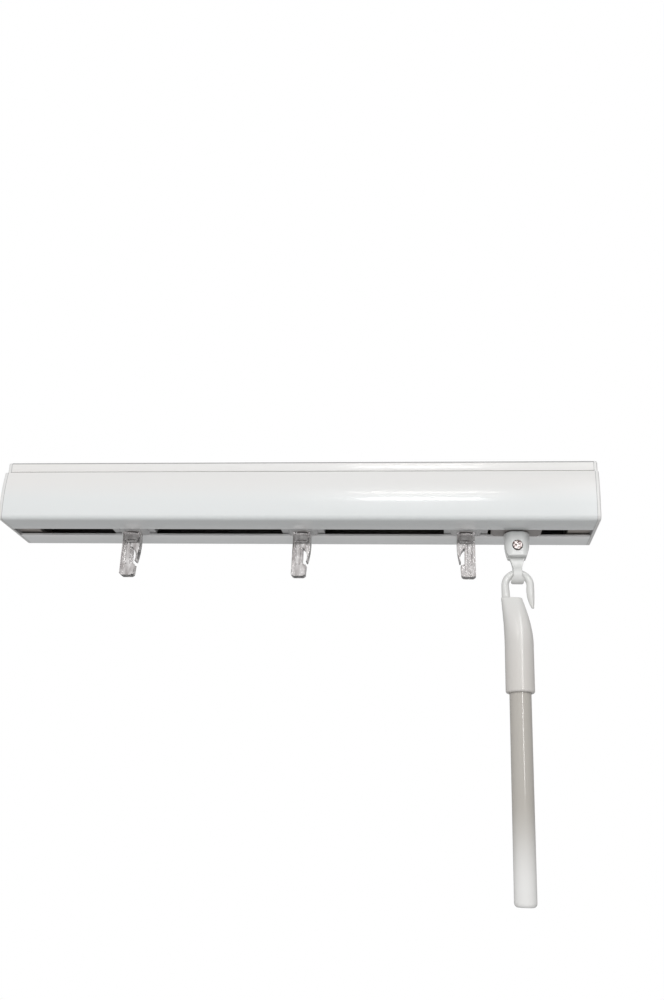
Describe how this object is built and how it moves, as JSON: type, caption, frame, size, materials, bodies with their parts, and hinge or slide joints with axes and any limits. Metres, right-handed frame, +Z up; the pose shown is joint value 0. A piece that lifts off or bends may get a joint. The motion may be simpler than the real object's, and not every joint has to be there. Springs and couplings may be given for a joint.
{
  "type": "panel curtain track",
  "caption": "White ceiling rail for hanging window panels, with sliding carriers, clear panel hooks, an inner tilt rod and a hooked-on control wand.",
  "frame": {"origin": "middle of the rail's flat top face, which lies against the ceiling or bracket", "axes": "+X along the rail towards the wand end, +Y away from the room towards the window, +Z up"},
  "size_m": [0.2674, 0.0404, 0.1853],
  "materials": {
    "rail_white": "gloss",
    "cap_white": "semi-gloss",
    "rod_aluminium": "satin",
    "carrier_plastic": "satin",
    "wand_carrier_white": "satin",
    "gear_acetal": "satin",
    "wheel_acetal": "satin",
    "strip_steel": "brushed",
    "hanger_clear": "clear",
    "stem_white": "semi-gloss",
    "screw_steel": "bright zinc",
    "wand_grey": "gloss"
  },
  "bodies": {
    "rail": {"headrail": "rail_white", "end_cap_left": "cap_white", "end_cap_right": "cap_white"},
    "rod": {"tilt_rod": "rod_aluminium"},
    "lead_carriers": {"wand_carrier_base": "wand_carrier_white", "wand_carrier_lid": "wand_carrier_white", "carrier_base_3": "carrier_plastic", "carrier_lid_3": "carrier_plastic", "carrier_link": "wand_carrier_white"},
    "vane_carrier_1": {"carrier_base_1": "carrier_plastic", "carrier_lid_1": "carrier_plastic", "spacer_strip_1": "strip_steel"},
    "vane_carrier_2": {"carrier_base_2": "carrier_plastic", "carrier_lid_2": "carrier_plastic", "spacer_strip_2": "strip_steel"},
    "wand_stem_body": {"wand_stem": "stem_white", "pivot_screw": "screw_steel"},
    "link": {"swivel_link": "stem_white"},
    "wand_assembly": {"wand_hook": "stem_white", "wand": "wand_grey"},
    "drive": {"drive_sleeve": "gear_acetal"},
    "sleeve_1": {"worm_sleeve_1": "gear_acetal"},
    "hanger_1": {"vane_hanger_1": "hanger_clear"},
    "sleeve_2": {"worm_sleeve_2": "gear_acetal"},
    "hanger_2": {"vane_hanger_2": "hanger_clear"},
    "sleeve_3": {"worm_sleeve_3": "gear_acetal"},
    "hanger_3": {"vane_hanger_3": "hanger_clear"},
    "wheel_1a": {"track_wheel_1a": "wheel_acetal"},
    "wheel_1b": {"track_wheel_1b": "wheel_acetal"},
    "wheel_1c": {"track_wheel_1c": "wheel_acetal"},
    "wheel_1d": {"track_wheel_1d": "wheel_acetal"},
    "wheel_2a": {"track_wheel_2a": "wheel_acetal"},
    "wheel_2b": {"track_wheel_2b": "wheel_acetal"},
    "wheel_2c": {"track_wheel_2c": "wheel_acetal"},
    "wheel_2d": {"track_wheel_2d": "wheel_acetal"},
    "wheel_3a": {"track_wheel_3a": "wheel_acetal"},
    "wheel_3b": {"track_wheel_3b": "wheel_acetal"},
    "wheel_3c": {"track_wheel_3c": "wheel_acetal"},
    "wheel_3d": {"track_wheel_3d": "wheel_acetal"},
    "wheel_wa": {"track_wheel_wa": "wheel_acetal"},
    "wheel_wb": {"track_wheel_wb": "wheel_acetal"},
    "wheel_wc": {"track_wheel_wc": "wheel_acetal"},
    "wheel_wd": {"track_wheel_wd": "wheel_acetal"}
  },
  "joints": [
    {"name": "lead_slide", "type": "slide", "parent": "rail", "child": "lead_carriers", "axis": [1, 0, 0], "range_m": [-0.1471, 0]},
    {"name": "stem_turn", "type": "hinge", "parent": "lead_carriers", "child": "wand_stem_body", "pos_m": [0.099, 0, -0.03575], "axis": [0, 0, 1], "range_deg": [-540, 540]},
    {"name": "rod_turn", "type": "hinge", "parent": "rail", "child": "rod", "pos_m": [0, 0.00907, -0.01438], "axis": [1, 0, 0], "range_deg": [-540, 540]},
    {"name": "drive_turn", "type": "hinge", "parent": "lead_carriers", "child": "drive", "pos_m": [0.099, 0.00907, -0.01438], "axis": [1, 0, 0], "range_deg": [-540, 540]},
    {"name": "link_swing", "type": "hinge", "parent": "wand_stem_body", "child": "link", "pos_m": [0.099, 0, -0.03575], "axis": [0, 1, 0], "range_deg": [-25, 25]},
    {"name": "wand_swing", "type": "hinge", "parent": "link", "child": "wand_assembly", "pos_m": [0.099, 0, -0.0473], "axis": [1, 0, 0], "range_deg": [-45, 45]},
    {"name": "carrier_1_slide", "type": "slide", "parent": "rail", "child": "vane_carrier_1", "axis": [1, 0, 0], "range_m": [-0.0352, 0]},
    {"name": "carrier_2_slide", "type": "slide", "parent": "rail", "child": "vane_carrier_2", "axis": [1, 0, 0], "range_m": [-0.0937, 0]},
    {"name": "sleeve_1_turn", "type": "hinge", "parent": "vane_carrier_1", "child": "sleeve_1", "pos_m": [-0.0764, 0.00907, -0.01438], "axis": [1, 0, 0], "range_deg": [-540, 540]},
    {"name": "hanger_1_turn", "type": "hinge", "parent": "vane_carrier_1", "child": "hanger_1", "pos_m": [-0.0764, 0, -0.01438], "axis": [0, 0, 1], "range_deg": [-90, 90]},
    {"name": "sleeve_2_turn", "type": "hinge", "parent": "vane_carrier_2", "child": "sleeve_2", "pos_m": [0.0026, 0.00907, -0.01438], "axis": [1, 0, 0], "range_deg": [-540, 540]},
    {"name": "hanger_2_turn", "type": "hinge", "parent": "vane_carrier_2", "child": "hanger_2", "pos_m": [0.0026, 0, -0.01438], "axis": [0, 0, 1], "range_deg": [-90, 90]},
    {"name": "sleeve_3_turn", "type": "hinge", "parent": "lead_carriers", "child": "sleeve_3", "pos_m": [0.0766, 0.00907, -0.01438], "axis": [1, 0, 0], "range_deg": [-540, 540]},
    {"name": "hanger_3_turn", "type": "hinge", "parent": "lead_carriers", "child": "hanger_3", "pos_m": [0.0766, 0, -0.01438], "axis": [0, 0, 1], "range_deg": [-90, 90]},
    {"name": "wheel_1a_roll", "type": "hinge", "parent": "vane_carrier_1", "child": "wheel_1a", "pos_m": [-0.0825, -0.0076, -0.02352], "axis": [0, 1, 0], "range_deg": [-593, 0]},
    {"name": "wheel_1b_roll", "type": "hinge", "parent": "vane_carrier_1", "child": "wheel_1b", "pos_m": [-0.0703, -0.0076, -0.02352], "axis": [0, 1, 0], "range_deg": [-593, 0]},
    {"name": "wheel_1c_roll", "type": "hinge", "parent": "vane_carrier_1", "child": "wheel_1c", "pos_m": [-0.0825, 0.0076, -0.02352], "axis": [0, 1, 0], "range_deg": [-593, 0]},
    {"name": "wheel_1d_roll", "type": "hinge", "parent": "vane_carrier_1", "child": "wheel_1d", "pos_m": [-0.0703, 0.0076, -0.02352], "axis": [0, 1, 0], "range_deg": [-593, 0]},
    {"name": "wheel_2a_roll", "type": "hinge", "parent": "vane_carrier_2", "child": "wheel_2a", "pos_m": [-0.0035, -0.0076, -0.02352], "axis": [0, 1, 0], "range_deg": [-1579, 0]},
    {"name": "wheel_2b_roll", "type": "hinge", "parent": "vane_carrier_2", "child": "wheel_2b", "pos_m": [0.0087, -0.0076, -0.02352], "axis": [0, 1, 0], "range_deg": [-1579, 0]},
    {"name": "wheel_2c_roll", "type": "hinge", "parent": "vane_carrier_2", "child": "wheel_2c", "pos_m": [-0.0035, 0.0076, -0.02352], "axis": [0, 1, 0], "range_deg": [-1579, 0]},
    {"name": "wheel_2d_roll", "type": "hinge", "parent": "vane_carrier_2", "child": "wheel_2d", "pos_m": [0.0087, 0.0076, -0.02352], "axis": [0, 1, 0], "range_deg": [-1579, 0]},
    {"name": "wheel_3a_roll", "type": "hinge", "parent": "lead_carriers", "child": "wheel_3a", "pos_m": [0.0705, -0.0076, -0.02352], "axis": [0, 1, 0], "range_deg": [-2480, 0]},
    {"name": "wheel_3b_roll", "type": "hinge", "parent": "lead_carriers", "child": "wheel_3b", "pos_m": [0.0827, -0.0076, -0.02352], "axis": [0, 1, 0], "range_deg": [-2480, 0]},
    {"name": "wheel_3c_roll", "type": "hinge", "parent": "lead_carriers", "child": "wheel_3c", "pos_m": [0.0705, 0.0076, -0.02352], "axis": [0, 1, 0], "range_deg": [-2480, 0]},
    {"name": "wheel_3d_roll", "type": "hinge", "parent": "lead_carriers", "child": "wheel_3d", "pos_m": [0.0827, 0.0076, -0.02352], "axis": [0, 1, 0], "range_deg": [-2480, 0]},
    {"name": "wheel_wa_roll", "type": "hinge", "parent": "lead_carriers", "child": "wheel_wa", "pos_m": [0.0915, -0.0076, -0.02352], "axis": [0, 1, 0], "range_deg": [-2480, 0]},
    {"name": "wheel_wb_roll", "type": "hinge", "parent": "lead_carriers", "child": "wheel_wb", "pos_m": [0.1065, -0.0076, -0.02352], "axis": [0, 1, 0], "range_deg": [-2480, 0]},
    {"name": "wheel_wc_roll", "type": "hinge", "parent": "lead_carriers", "child": "wheel_wc", "pos_m": [0.0915, 0.0076, -0.02352], "axis": [0, 1, 0], "range_deg": [-2480, 0]},
    {"name": "wheel_wd_roll", "type": "hinge", "parent": "lead_carriers", "child": "wheel_wd", "pos_m": [0.1065, 0.0076, -0.02352], "axis": [0, 1, 0], "range_deg": [-2480, 0]}
  ],
  "couplings": [
    {"joint": "rod_turn", "follows": "stem_turn", "ratio": 1},
    {"joint": "drive_turn", "follows": "stem_turn", "ratio": 1},
    {"joint": "carrier_1_slide", "follows": "lead_slide", "ratio": 0.23861},
    {"joint": "carrier_2_slide", "follows": "lead_slide", "ratio": 0.6363},
    {"joint": "sleeve_1_turn", "follows": "stem_turn", "ratio": 1},
    {"joint": "hanger_1_turn", "follows": "stem_turn", "ratio": 0.16667},
    {"joint": "sleeve_2_turn", "follows": "stem_turn", "ratio": 1},
    {"joint": "hanger_2_turn", "follows": "stem_turn", "ratio": 0.16667},
    {"joint": "sleeve_3_turn", "follows": "stem_turn", "ratio": 1},
    {"joint": "hanger_3_turn", "follows": "stem_turn", "ratio": 0.16667},
    {"joint": "wheel_1a_roll", "follows": "lead_slide", "rad_per_m": 70.179},
    {"joint": "wheel_1b_roll", "follows": "lead_slide", "rad_per_m": 70.179},
    {"joint": "wheel_1c_roll", "follows": "lead_slide", "rad_per_m": 70.179},
    {"joint": "wheel_1d_roll", "follows": "lead_slide", "rad_per_m": 70.179},
    {"joint": "wheel_2a_roll", "follows": "lead_slide", "rad_per_m": 187.15},
    {"joint": "wheel_2b_roll", "follows": "lead_slide", "rad_per_m": 187.15},
    {"joint": "wheel_2c_roll", "follows": "lead_slide", "rad_per_m": 187.15},
    {"joint": "wheel_2d_roll", "follows": "lead_slide", "rad_per_m": 187.15},
    {"joint": "wheel_3a_roll", "follows": "lead_slide", "rad_per_m": 294.12},
    {"joint": "wheel_3b_roll", "follows": "lead_slide", "rad_per_m": 294.12},
    {"joint": "wheel_3c_roll", "follows": "lead_slide", "rad_per_m": 294.12},
    {"joint": "wheel_3d_roll", "follows": "lead_slide", "rad_per_m": 294.12},
    {"joint": "wheel_wa_roll", "follows": "lead_slide", "rad_per_m": 294.12},
    {"joint": "wheel_wb_roll", "follows": "lead_slide", "rad_per_m": 294.12},
    {"joint": "wheel_wc_roll", "follows": "lead_slide", "rad_per_m": 294.12},
    {"joint": "wheel_wd_roll", "follows": "lead_slide", "rad_per_m": 294.12}
  ]
}
